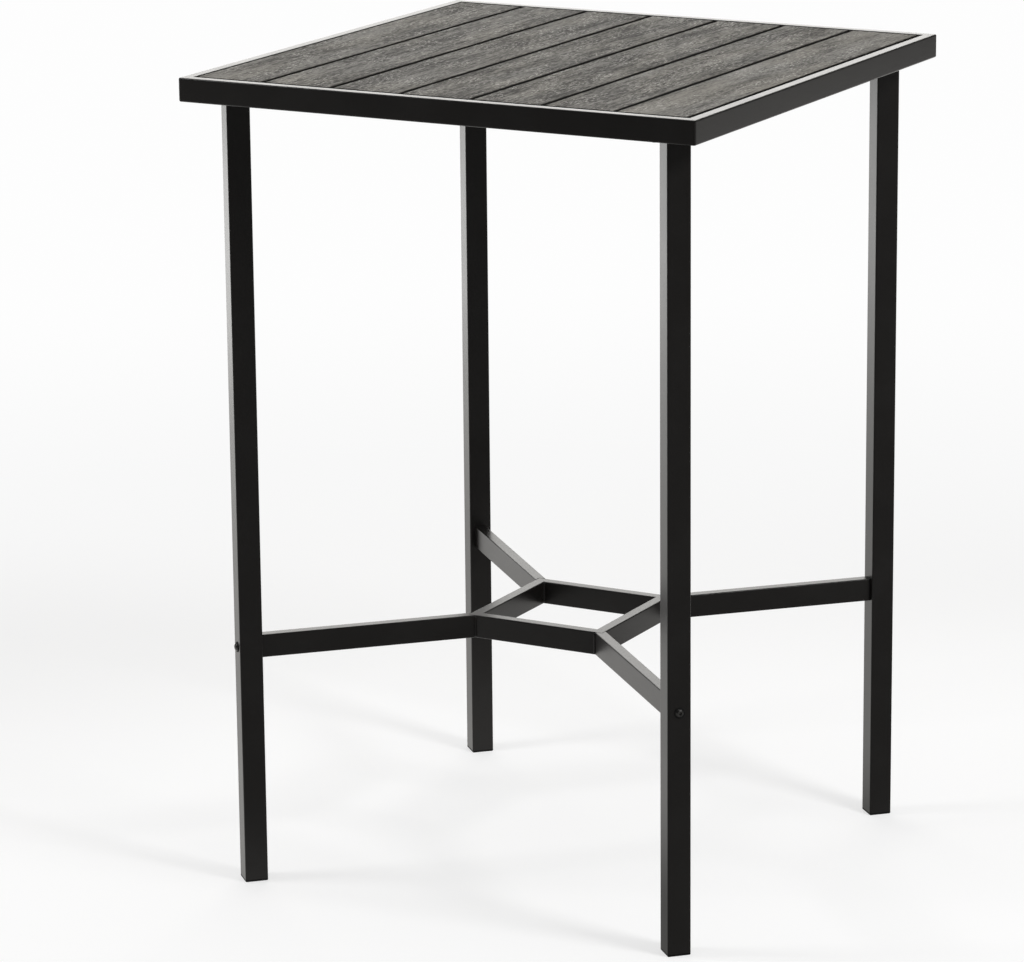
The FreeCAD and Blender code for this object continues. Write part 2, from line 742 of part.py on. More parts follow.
def build_slat_screws():
    """Build the screws that hold the slats to the cross rails from below."""
    screw = add_slat_screw("slat_screw")
    head_down = FreeCAD.Rotation(FreeCAD.Vector(1, 0, 0), 180)
    screws = []
    for sign in (-1, 1):
        for x in slat_screw_columns():
            screws.append(add_copy(screw))
            y = f"{sign} * Sizes.rail_spacing / 2"
            seat = f"{SLAT_BOTTOM} - Sizes.rail_height"
            place(screws[-1], head_down, x, y, seat, prefix="LinkPlacement")
    add_group("slat_screws", screws)


def check_document():
    """Stop if any object failed or any node has no valid shape."""
    for item in doc.Objects:
        if "Invalid" in item.State or "Error" in item.State:
            raise RuntimeError(f"{item.Label} failed: {item.State}")
    for node in nodes:
        if node.Shape.isNull() or not node.Shape.isValid() or not node.Shape.Solids:
            raise RuntimeError(f"{node.Label} has no valid shape")


build_rim()
build_slats()
build_ledges()
build_rails()
build_gussets()
build_leg_plates()
build_legs()
build_feet()
build_hub()
build_arms()
build_arm_plugs()
build_stretcher_fixings()
build_leg_fixings()
build_slat_screws()
doc.recompute()
check_document()

os.makedirs("parts", exist_ok=True)
for node in nodes:
    node.Shape.exportStep(f"parts/{node.Label}.step")
    print(f"{node.Label}: {len(node.Shape.Solids)} solids, {node.Shape.Volume:.0f} mm3")
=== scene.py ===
"""Finishes for a bar-height patio table with a slatted top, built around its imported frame.

Metres, in the frame's own axes: X along the front rim, Y back along the slats, Z up from the floor.
"""

import functools
import logging
import math
from dataclasses import dataclass
from enum import Enum

import bmesh
import bpy
from mathutils import Matrix, Vector, noise


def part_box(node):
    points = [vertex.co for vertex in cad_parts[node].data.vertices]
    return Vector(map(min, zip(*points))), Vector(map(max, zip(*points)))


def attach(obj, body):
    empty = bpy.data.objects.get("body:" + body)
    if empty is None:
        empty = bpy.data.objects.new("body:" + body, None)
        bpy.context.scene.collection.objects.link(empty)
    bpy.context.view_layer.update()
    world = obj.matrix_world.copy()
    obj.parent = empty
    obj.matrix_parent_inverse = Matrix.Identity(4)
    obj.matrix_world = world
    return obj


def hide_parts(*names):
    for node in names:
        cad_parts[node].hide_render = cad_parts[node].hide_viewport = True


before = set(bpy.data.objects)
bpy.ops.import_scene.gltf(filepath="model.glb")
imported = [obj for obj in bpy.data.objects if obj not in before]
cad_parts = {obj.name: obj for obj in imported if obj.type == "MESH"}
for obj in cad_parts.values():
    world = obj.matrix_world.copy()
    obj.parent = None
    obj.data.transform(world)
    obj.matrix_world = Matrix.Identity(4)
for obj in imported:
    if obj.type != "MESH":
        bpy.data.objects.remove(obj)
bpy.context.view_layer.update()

log = logging.getLogger("patio_table")

Rgb = tuple[float, float, float]
Cell = tuple[float, float, float]
Point = tuple[float, float, float]
Span = tuple[float, float]
Shape = bmesh.types.BMesh

BODY = "root"
SHARP_ANGLE = math.radians(40)
LEVEL_NORMAL = 0.5
NOISE_MIDDLE = 0.5
GRAIN = "grain"
BOARD = "board"
TONE = "tone"
WHITE: Rgb = (1.0, 1.0, 1.0)
WARM_WHITE: Rgb = (1.0, 0.985, 0.955)


class Slot(Enum):
    """The record's material slots."""

    POWDER_COAT = "powder_coat"
    SLAT_PLANK = "slat_plank"
    FOOT_PLASTIC = "foot_plastic"
    BLACK_BOLT = "black_bolt"
    BARE_ALUMINIUM = "bare_aluminium"
    SCREW_STEEL = "screw_steel"


class Place(Enum):
    """One of four places round the table, counter-clockwise from above."""

    @property
    def turn(self) -> Matrix:
        """Rotation that brings the first place to this one."""
        quarter_turns = list(type(self)).index(self)
        return Matrix.Rotation(quarter_turns * math.pi / 2, 4, "Z")


class Side(Place):
    """Sides of the table."""

    FRONT = "front"
    RIGHT = "right"
    BACK = "back"
    LEFT = "left"


class Corner(Place):
    """Corners of the table."""

    FRONT_LEFT = "front_left"
    FRONT_RIGHT = "front_right"
    BACK_RIGHT = "back_right"
    BACK_LEFT = "back_left"


def cube_cell(side: float) -> Cell:
    """Give a noise cell that is as long in every direction."""
    return (side, side, side)


@dataclass(frozen=True)
class Cloud:
    """Noise of one size.

    Attributes:
        cell: the size of its patches along X, Y and Z, in metres.
        detail: how many finer layers it has.
        rough: how strong the finer layers are.
    """

    cell: Cell
    detail: float = 2.0
    rough: float = 0.5


class Term:
    """A shader socket that takes part in Python arithmetic."""

    def __init__(self, tree: "ShaderTree", socket: bpy.types.NodeSocket) -> None:
        """Wrap one output socket of a tree."""
        self.tree = tree
        self.socket = socket

    def output(self, name: str) -> "Term":
        """Give another output of the same node."""
        return Term(self.tree, self.socket.node.outputs[name])

    def __add__(self, other: "Term | float") -> "Term":
        """Add."""
        return self.tree.maths("ADD", self, other)

    def __radd__(self, other: float) -> "Term":
        """Add, from the right."""
        return self.tree.maths("ADD", other, self)

    def __sub__(self, other: "Term | float") -> "Term":
        """Subtract."""
        return self.tree.maths("SUBTRACT", self, other)

    def __rsub__(self, other: float) -> "Term":
        """Subtract from a number."""
        return self.tree.maths("SUBTRACT", other, self)

    def __mul__(self, other: "Term | float") -> "Term":
        """Multiply."""
        return self.tree.maths("MULTIPLY", self, other)

    def __rmul__(self, other: float) -> "Term":
        """Multiply, from the right."""
        return self.tree.maths("MULTIPLY", other, self)

    def ramp(self, low: float, high: float) -> "Term":
        """Rise smoothly from 0 to 1 as the value goes from low to high."""
        sockets = {"Value": self, "From Min": low, "From Max": high}
        return self.tree.add("ShaderNodeMapRange", {"interpolation_type": "SMOOTHSTEP"}, sockets)


class ShaderTree:
    """Adds nodes to a material or to the world."""

    def __init__(self, owner: bpy.types.Material | bpy.types.World) -> None:
        """Start from an empty tree.

        Args:
            owner: what the nodes belong to.
        """
        owner.use_nodes = True
        self.tree = owner.node_tree
        self.tree.nodes.clear()

    def add(
        self,
        kind: str,
        settings: dict[str, object] | None = None,
        sockets: dict[str | int, object] | None = None,
        output: str | int = 0,
    ) -> Term:
        """Add one node.

        Args:
            kind: the node's type.
            settings: its properties, set first.
            sockets: values or terms for its inputs, by name, identifier or index.
            output: which output to give.

        Returns:
            The output as a term.
        """
        node = self.tree.nodes.new(kind)
        for name, setting in (settings or {}).items():
            setattr(node, name, setting)
        for name, given in (sockets or {}).items():
            socket = self._find(node.inputs, name)
            if isinstance(given, Term):
                self.tree.links.new(given.socket, socket)
            else:
                socket.default_value = given
        if not node.outputs:
            return Term(self, None)
        return Term(self, self._find(node.outputs, output))

    @staticmethod
    def _find(sockets: object, name: str | int) -> bpy.types.NodeSocket:
        """Find a socket by index, identifier or name."""
        if isinstance(name, int):
            return sockets[name]
        by_identifier = [socket for socket in sockets if socket.identifier == name]
        return by_identifier[0] if by_identifier else sockets[name]

    def maths(self, operation: str, first: "Term | float", second: "Term | float") -> Term:
        """Add a Math node."""
        return self.add("ShaderNodeMath", {"operation": operation}, {0: first, 1: second})

    def mix_colour(self, factor: Term, first: "Term | Rgb", second: "Term | Rgb") -> Term:
        """Blend two colours by a factor.

        Args:
            factor: 0 for the first colour, 1 for the second.
            first: a colour.
            second: a colour.

        Returns:
            The blended colour.
        """
        ends = [end if isinstance(end, Term) else (*end, 1.0) for end in (first, second)]
        sockets = {"Factor_Float": factor, "A_Color": ends[0], "B_Color": ends[1]}
        return self.add("ShaderNodeMix", {"data_type": "RGBA"}, sockets, "Result_Color")

    def place(self) -> Term:
        """Give the object coordinates."""
        return self.add("ShaderNodeTexCoord", output="Object")

    def noise(self, cloud: Cloud, place: Term | None = None) -> Term:
        """Give cloud noise between 0 and 1.

        Args:
            cloud: its size and its layers.
            place: coordinates to use instead of the object's own.

        Returns:
            The noise as a value.
        """
        per_metre = tuple(1 / side for side in cloud.cell)
        mapping = {"Vector": place or self.place(), "Scale": per_metre}
        scaled = self.add("ShaderNodeMapping", None, mapping)
        sockets = {"Vector": scaled, "Scale": 1.0, "Detail": cloud.detail, "Roughness": cloud.rough}
        return self.add("ShaderNodeTexNoise", None, sockets)

    def bump(self, height: Term, distance: float, strength: float = 1.0) -> Term:
        """Give the normal of a surface with a fine relief.

        Args:
            height: the relief, from 0 to 1.
            distance: its depth in metres.
            strength: how much of it shows.

        Returns:
            The normal.
        """
        sockets = {"Height": height, "Distance": distance, "Strength": strength}
        return self.add("ShaderNodeBump", None, sockets)

    def surface(self, shader: Term) -> None:
        """Send a shader to the material's output."""
        self.add("ShaderNodeOutputMaterial", None, {"Surface": shader})


@dataclass(frozen=True)
class Finish:
    """What all finishes have in common.

    Attributes:
        name: the material's name.
        slot: the record's slot that it stands for; not used.
    """

    name: str
    slot: Slot

    def shade(self, tree: ShaderTree) -> Term:
        """Build the finish's shader."""
        raise NotImplementedError(self.name)


@functools.cache
def material_of(finish: Finish) -> bpy.types.Material:
    """Make a finish's material, once.

    Args:
        finish: the finish.

    Returns:
        Its material.
    """
    material = bpy.data.materials.new(finish.name)
    tree = ShaderTree(material)
    tree.surface(finish.shade(tree))
    return material


@dataclass(frozen=True)
class PowderCoat(Finish):
    """Baked powder paint on metal tube.

    Attributes:
        colour: the paint.
        pale: the paint where the layer is thin or dusty.
        roughness: the middle of its roughness.
        roughness_swing: how far the roughness wanders.
        specular: how strongly it mirrors.
        clouds: the patches of tone.
        pale_span: noise between which the patches turn pale.
        peel: the ripples of the flow-out.
        peel_depth: their depth.
        grit: the powder's grain.
        grit_depth: its depth.
    """

    colour: Rgb
    pale: Rgb
    roughness: float
    roughness_swing: float
    specular: float
    clouds: Cloud = Cloud(cube_cell(0.06), detail=3.0)
    pale_span: Span = (0.35, 0.75)
    peel: Cloud = Cloud(cube_cell(0.0022), detail=1.0)
    peel_depth: float = 0.00004
    grit: Cloud = Cloud(cube_cell(0.00035), detail=1.0)
    grit_depth: float = 0.00001

    def shade(self, tree: ShaderTree) -> Term:
        """Build the paint.

        Args:
            tree: the material's nodes.

        Returns:
            The shader.
        """
        clouds, peel, grit = (tree.noise(cloud) for cloud in (self.clouds, self.peel, self.grit))
        depth = self.peel_depth + self.grit_depth
        relief = peel * (self.peel_depth / depth) + grit * (self.grit_depth / depth)
        wander = (clouds - NOISE_MIDDLE) + (grit - NOISE_MIDDLE)
        sockets = {
            "Base Color": tree.mix_colour(clouds.ramp(*self.pale_span), self.colour, self.pale),
            "Roughness": self.roughness + wander * self.roughness_swing,
            "Specular IOR Level": self.specular,
            "Normal": tree.bump(relief, depth),
        }
        return tree.add("ShaderNodeBsdfPrincipled", None, sockets)


@dataclass(frozen=True)
class PlankGrain(Finish):
    """Artificial wood: a stained foam board with an embossed and brushed grain.

    Attributes:
        groove: colour in the bottom of the grain.
        side: colour of the moulded sides, lower edges and underside: their own dark colour, made darker
            still as painted shade in the gaps between slats.
        face: colour of the face.
        fleck: colour of the brushed flecks.
        warm: the face's colour in its warmer patches.
        roughness: roughness of the face.
        groove_roughness: how much duller the grooves are.
        specular: how strongly it mirrors.
        board_step: how far the pattern moves from one board to the next.
        streaks: the long streaks of stain.
        patches: the broad patches of stain.
        fibre: the fine fibres.
        flecks: the brushed flecks.
        zones: where the flecks are dense.
        tints: where the face is warmer.
        weights: how much the embossed grain, the streaks, the patches and the fibres count in the stain.
        stain_span: stain between which the groove's colour gives way to the face's.
        tint_span: noise between which the face turns warm.
        fleck_span: noise between which a fleck starts and is full.
        zone_span: noise between which the flecks grow dense.
        rub_span: grain between which the brush reaches it.
        side_span: grain between which the side colour, partly painted shade, gives way to the face.
        fibre_depth: depth of the fibres.
        fibre_share: how much of that depth shows.
    """

    groove: Rgb
    side: Rgb
    face: Rgb
    fleck: Rgb
    warm: Rgb
    roughness: float
    groove_roughness: float
    specular: float
    board_step: Point = (0.0, 0.83, 0.31)
    streaks: Cloud = Cloud((0.0045, 0.06, 0.05), rough=0.55)
    patches: Cloud = Cloud((0.03, 0.2, 0.05), detail=1.0)
    fibre: Cloud = Cloud((0.0012, 0.010, 0.004), rough=0.6)
    flecks: Cloud = Cloud((0.0020, 0.0075, 0.010), rough=0.6)
    zones: Cloud = Cloud((0.020, 0.075, 0.05), detail=1.0)
    tints: Cloud = Cloud((0.045, 0.16, 0.05), detail=1.0)
    weights: tuple[float, float, float, float] = (0.5, 1.2, 0.9, 1.3)
    stain_span: Span = (1.55, 2.53)
    tint_span: Span = (0.35, 0.65)
    fleck_span: Span = (0.49, 0.68)
    zone_span: Span = (0.3, 0.7)
    rub_span: Span = (0.3, 0.8)
    side_span: Span = (0.05, 0.25)
    fibre_depth: float = 0.00025
    fibre_share: float = 0.6

    def shade(self, tree: ShaderTree) -> Term:
        """Build the board.

        Args:
            tree: the material's nodes.

        Returns:
            The shader.
        """
        grain = tree.add("ShaderNodeAttribute", {"attribute_name": GRAIN}, output="Fac")
        tone = tree.add("ShaderNodeAttribute", {"attribute_name": TONE}, output="Fac")
        place = self._board_place(tree)
        clouds = (self.streaks, self.patches, self.fibre, self.flecks, self.zones, self.tints)
        streaks, patches, fibre, flecks, zones, tints = (tree.noise(cloud, place) for cloud in clouds)
        face = tree.mix_colour(tints.ramp(*self.tint_span), self.face, self.warm)
        by_grain, by_streaks, by_patches, by_fibre = self.weights
        stain = grain * by_grain + streaks * by_streaks + patches * by_patches + fibre * by_fibre + tone
        grained = tree.mix_colour(stain.ramp(*self.stain_span), self.groove, face)
        dense_flecks = flecks.ramp(*self.fleck_span) * zones.ramp(*self.zone_span)
        rubbed = dense_flecks * grain.ramp(*self.rub_span)
        brushed = tree.mix_colour(rubbed, grained, self.fleck)
        roughness = self.roughness + (1 - grain) * self.groove_roughness - rubbed * self.groove_roughness
        sockets = {
            # The side colour covers the sides, the lower part of the rounded edges and the underside. It
            # is partly their own dark colour and partly painted shade in the gaps between slats.
            "Base Color": tree.mix_colour(grain.ramp(*self.side_span), self.side, brushed),
            "Roughness": roughness,
            "Specular IOR Level": self.specular,
            "Normal": tree.bump(fibre, self.fibre_depth, self.fibre_share),
        }
        return tree.add("ShaderNodeBsdfPrincipled", None, sockets)

    def _board_place(self, tree: ShaderTree) -> Term:
        """Give coordinates that differ from board to board.

        Args:
            tree: the material's nodes.

        Returns:
            The coordinates.
        """
        board = tree.add("ShaderNodeAttribute", {"attribute_name": BOARD}, output="Vector")
        moved = {0: board, 1: self.board_step, 2: tree.place()}
        return tree.add("ShaderNodeVectorMath", {"operation": "MULTIPLY_ADD"}, moved)


@dataclass(frozen=True)
class MouldedPlastic(Finish):
    """Black plastic from a mould with a fine spark texture.

    Attributes:
        colour: the plastic.
        scuffed: its colour where it is rubbed.
        roughness: its roughness.
        specular: how strongly it mirrors.
        spark: size of the mould's texture.
        spark_depth: its depth.
        spark_share: how much of that depth shows.
        scuffs: the rubbed patches.
        scuff_span: noise between which a patch starts and is full.
        scuff_roughness: how much duller the patches are.
    """

    colour: Rgb
    scuffed: Rgb
    roughness: float
    specular: float
    spark: float
    spark_depth: float = 0.00006
    spark_share: float = 0.8
    scuffs: Cloud = Cloud((0.004, 0.004, 0.0015), detail=3.0)
    scuff_span: Span = (0.5, 0.75)
    scuff_roughness: float = 0.12

    def shade(self, tree: ShaderTree) -> Term:
        """Build the plastic.

        Args:
            tree: the material's nodes.

        Returns:
            The shader.
        """
        spark = tree.noise(Cloud(cube_cell(self.spark)))
        scuffs = tree.noise(self.scuffs).ramp(*self.scuff_span)
        sockets = {
            "Base Color": tree.mix_colour(scuffs, self.colour, self.scuffed),
            "Roughness": self.roughness + scuffs * self.scuff_roughness,
            "Specular IOR Level": self.specular,
            "Normal": tree.bump(spark, self.spark_depth, self.spark_share),
        }
        return tree.add("ShaderNodeBsdfPrincipled", None, sockets)


@dataclass(frozen=True)
class TurnedMetal(Finish):
    """Bare or blackened metal with fine tool marks.

    Attributes:
        colour: the metal.
        worn: its colour where it is rubbed or stained.
        roughness: its roughness.
        metallic: 1 for bare metal, less under an oxide layer.
        mark: size of the tool marks.
        mark_depth: their depth.
        mark_share: how much of that depth shows.
        roughness_swing: how far the roughness wanders from mark to mark.
        wear_scale: how much larger the rubbed patches are than a mark.
        wear_detail: how many finer layers the patches have.
        wear_span: noise between which a patch starts and is full.
    """

    colour: Rgb
    worn: Rgb
    roughness: float
    metallic: float
    mark: float
    mark_depth: float = 0.00002
    mark_share: float = 0.7
    roughness_swing: float = 0.2
    wear_scale: float = 6.0
    wear_detail: float = 3.0
    wear_span: Span = (0.45, 0.8)

    def shade(self, tree: ShaderTree) -> Term:
        """Build the metal.

        Args:
            tree: the material's nodes.

        Returns:
            The shader.
        """
        marks = tree.noise(Cloud(cube_cell(self.mark)))
        patches = Cloud(cube_cell(self.mark * self.wear_scale), self.wear_detail)
        wear = tree.noise(patches).ramp(*self.wear_span)
        sockets = {
            "Base Color": tree.mix_colour(wear, self.colour, self.worn),
            "Metallic": self.metallic,
            "Roughness": self.roughness + (marks - NOISE_MIDDLE) * self.roughness_swing,
            "Normal": tree.bump(marks, self.mark_depth, self.mark_share),
        }
        return tree.add("ShaderNodeBsdfPrincipled", None, sockets)


COAT = PowderCoat(
    name="black_powder_coat",
    slot=Slot.POWDER_COAT,
    colour=(0.0070, 0.0060, 0.0055),
    pale=(0.0096, 0.0088, 0.0082),
    roughness=0.31,
    roughness_swing=0.06,
    specular=0.25,
)

BOLT_BLACK = TurnedMetal(
    name="blackened_bolt_steel",
    slot=Slot.BLACK_BOLT,
    colour=(0.06, 0.059, 0.057),
    worn=(0.10, 0.098, 0.095),
    roughness=0.38,
    metallic=0.9,
    mark=0.0004,
)

ALUMINIUM = TurnedMetal(
    name="sawn_aluminium",
    slot=Slot.BARE_ALUMINIUM,
    colour=(0.62, 0.62, 0.63),
    worn=(0.45, 0.45, 0.46),
    roughness=0.4,
    metallic=1.0,
    mark=0.0006,
)

STAINLESS = TurnedMetal(
    name="stainless_screw_steel",
    slot=Slot.SCREW_STEEL,
    colour=(0.50, 0.49, 0.48),
    worn=(0.33, 0.32, 0.31),
    roughness=0.32,
    metallic=1.0,
    mark=0.0005,
)

PLANK = PlankGrain(
    name="embossed_plank",
    slot=Slot.SLAT_PLANK,
    groove=(0.028, 0.0250, 0.0210),
    # side is darker than the grooves: painted shade in the gaps between slats, on top of the sides' own
    # dark colour.
    side=(0.008, 0.0076, 0.007),
    face=(0.195, 0.187, 0.170),
    fleck=(0.46, 0.444, 0.408),
    warm=(0.202, 0.190, 0.165),
    roughness=0.66,
    groove_roughness=0.15,
    specular=0.18,
)

# Near-black rings round the stretcher's bolt heads stand for a washer and also paint in the dark shade
# round each head.
RING_BLACK = MouldedPlastic(
    name="bolt_ring_black",
    slot=Slot.FOOT_PLASTIC,
    colour=(0.0035, 0.0035, 0.0035),
    scuffed=(0.006, 0.006, 0.006),
    roughness=0.62,
    specular=0.25,
    spark=0.0004,
)

FOOT_BLACK = MouldedPlastic(
    name="moulded_foot_plastic",
    slot=Slot.FOOT_PLASTIC,
    colour=(0.004, 0.004, 0.004),
    scuffed=(0.012, 0.0115, 0.011),
    roughness=0.6,
    specular=0.15,
    spark=0.0005,
)


def put(name: str, data: bpy.types.ID) -> bpy.types.Object:
    """Put a new object into the scene.

    Args:
        name: its name.
        data: its mesh, lamp or camera.

    Returns:
        The object.
    """
    item = bpy.data.objects.new(name, data)
    bpy.context.scene.collection.objects.link(item)
    return item


def finish_piece(
    name: str, shape: Shape, finish: Finish, stands_for: tuple[str, ...] = ()
) -> bpy.types.Object:
    """Turn a modelled shape into a piece that rides on the table.

    Args:
        name: the piece's name.
        shape: its bmesh, which is used up.
        finish: its finish.
        stands_for: the frame's nodes that it replaces.

    Returns:
        The piece.
    """
    mesh = bpy.data.meshes.new(name)
    shape.to_mesh(mesh)
    shape.free()
    mesh.shade_smooth()
    mesh.set_sharp_from_angle(angle=SHARP_ANGLE)
    mesh.materials.append(material_of(finish))
    piece = put(name, mesh)
    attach(piece, BODY)
    if stands_for:
        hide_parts(*stands_for)
    log.info("%s: %d faces, %s", name, len(mesh.polygons), finish.name)
    return piece


def dress(nodes: list[str], finish: Finish) -> None:
    """Give nodes of the frame a finish.

    Args:
        nodes: their names.
        finish: the finish.
    """
    for name in nodes:
        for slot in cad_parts[name].material_slots:
            slot.material = material_of(finish)
        log.info("%s: kept, %s", name, finish.name)


def names(stem: str, places: type[Place]) -> list[str]:
    """Give the names of the nodes that repeat round the table."""
    return [f"{stem}_{place.value}" for place in places]


def turned(shape: Shape, matrix: Matrix) -> Shape:
    """Give a turned copy of a shape."""
    copy = shape.copy()
    bmesh.ops.transform(copy, matrix=matrix, verts=copy.verts)
    return copy


@dataclass
class Rim:
    """The square rim of four mitred tubes.

    Attributes:
        corner_radius: radius that the ground corner welds leave.
        edge_radius: radius of the tube's long edges.
        mitre_gap: width of the hairline left at each mitre.
        corner_steps: facets round a corner.
        edge_steps: facets round an edge.
        corner_reach: distance from the middle, in half sides, past which only the outer corners lie.
    """

    corner_radius: float = 0.0032
    edge_radius: float = 0.002
    mitre_gap: float = 0.00008
    corner_steps: int = 6
    edge_steps: int = 5
    corner_reach: float = 1.4

    def build(self) -> None:
        """Model the front bar from a whole ring, then turn it to every side."""
        front = self._front_bar()
        for side in Side:
            node = f"rim_{side.value}"
            piece = finish_piece(node + "_tube", turned(front, side.turn), COAT, (node,))
            even = piece.modifiers.new("even_shading", "WEIGHTED_NORMAL")
            even.keep_sharp = True
        front.free()

    def _front_bar(self) -> Shape:
        """Model the ring and cut the front bar out of it.

        Returns:
            The front bar.
        """
        low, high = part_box("rim_front")
        shape = bmesh.new()
        bmesh.ops.create_grid(shape, x_segments=1, y_segments=1, size=high.x)
        bmesh.ops.translate(shape, vec=(0, 0, low.z), verts=shape.verts)
        bmesh.ops.inset_individual(
            shape, faces=shape.faces[:], thickness=high.y - low.y, use_even_offset=True
        )
        middle = min(shape.faces, key=lambda face: face.calc_center_median().xy.length)
        bmesh.ops.delete(shape, geom=[middle], context="FACES_ONLY")
        raised = bmesh.ops.extrude_face_region(shape, geom=shape.faces[:])["geom"]
        top = [item for item in raised if isinstance(item, bmesh.types.BMVert)]
        bmesh.ops.translate(shape, vec=(0, 0, high.z - low.z), verts=top)
        bmesh.ops.recalc_face_normals(shape, faces=shape.faces)
        self._round_corners(shape, high.x)
        self._round_edges(shape)
        self._cut_mitres(shape)
        return shape

    def _round_corners(self, shape: Shape, reach: float) -> None:
        """Round the outer upright edges.

        Args:
            shape: the ring.
            reach: half of its side.
        """
        upright = [
            edge
            for edge in shape.edges
            if all(vert.co.xy.length > reach * self.corner_reach for vert in edge.verts)
            and edge.verts[0].co.xy == edge.verts[1].co.xy
        ]
        self._bevel(shape, upright, self.corner_radius, self.corner_steps)

    def _round_edges(self, shape: Shape) -> None:
        """Round the long edges where the top and the underside meet the walls."""
        long_edges = [edge for edge in shape.edges if self._is_long_edge(edge)]
        self._bevel(shape, long_edges, self.edge_radius, self.edge_steps)

    @staticmethod
    def _is_long_edge(edge: bmesh.types.BMEdge) -> bool:
        """Tell whether one of two faces is level and the other upright."""
        level = [abs(face.normal.z) > LEVEL_NORMAL for face in edge.link_faces]
        return len(level) == 2 and level[0] != level[1]

    @staticmethod
    def _bevel(shape: Shape, edges: list[bmesh.types.BMEdge], radius: float, steps: int) -> None:
        """Round edges.

        Args:
            shape: what they belong to.
            edges: the edges.
            radius: the radius.
            steps: facets of the round.
        """
        bmesh.ops.bevel(
            shape,
            geom=edges,
            offset=radius,
            offset_type="OFFSET",
            affect="EDGES",
            segments=steps,
            profile=0.5,
            material=-1,
        )

    def _cut_mitres(self, shape: Shape) -> None:
        """Keep the front bar between its two mitres."""
        for across in (1, -1):
            outwards = Vector((across, 1, 0)).normalized()
            bmesh.ops.bisect_plane(
                shape,
                geom=shape.verts[:] + shape.edges[:] + shape.faces[:],
                plane_co=-outwards * self.mitre_gap / 2,
                plane_no=outwards,
                clear_outer=True,
            )
            open_edges = [edge for edge in shape.edges if edge.is_boundary]
            bmesh.ops.holes_fill(shape, edges=open_edges, sides=0)
        bmesh.ops.recalc_face_normals(shape, faces=shape.faces)


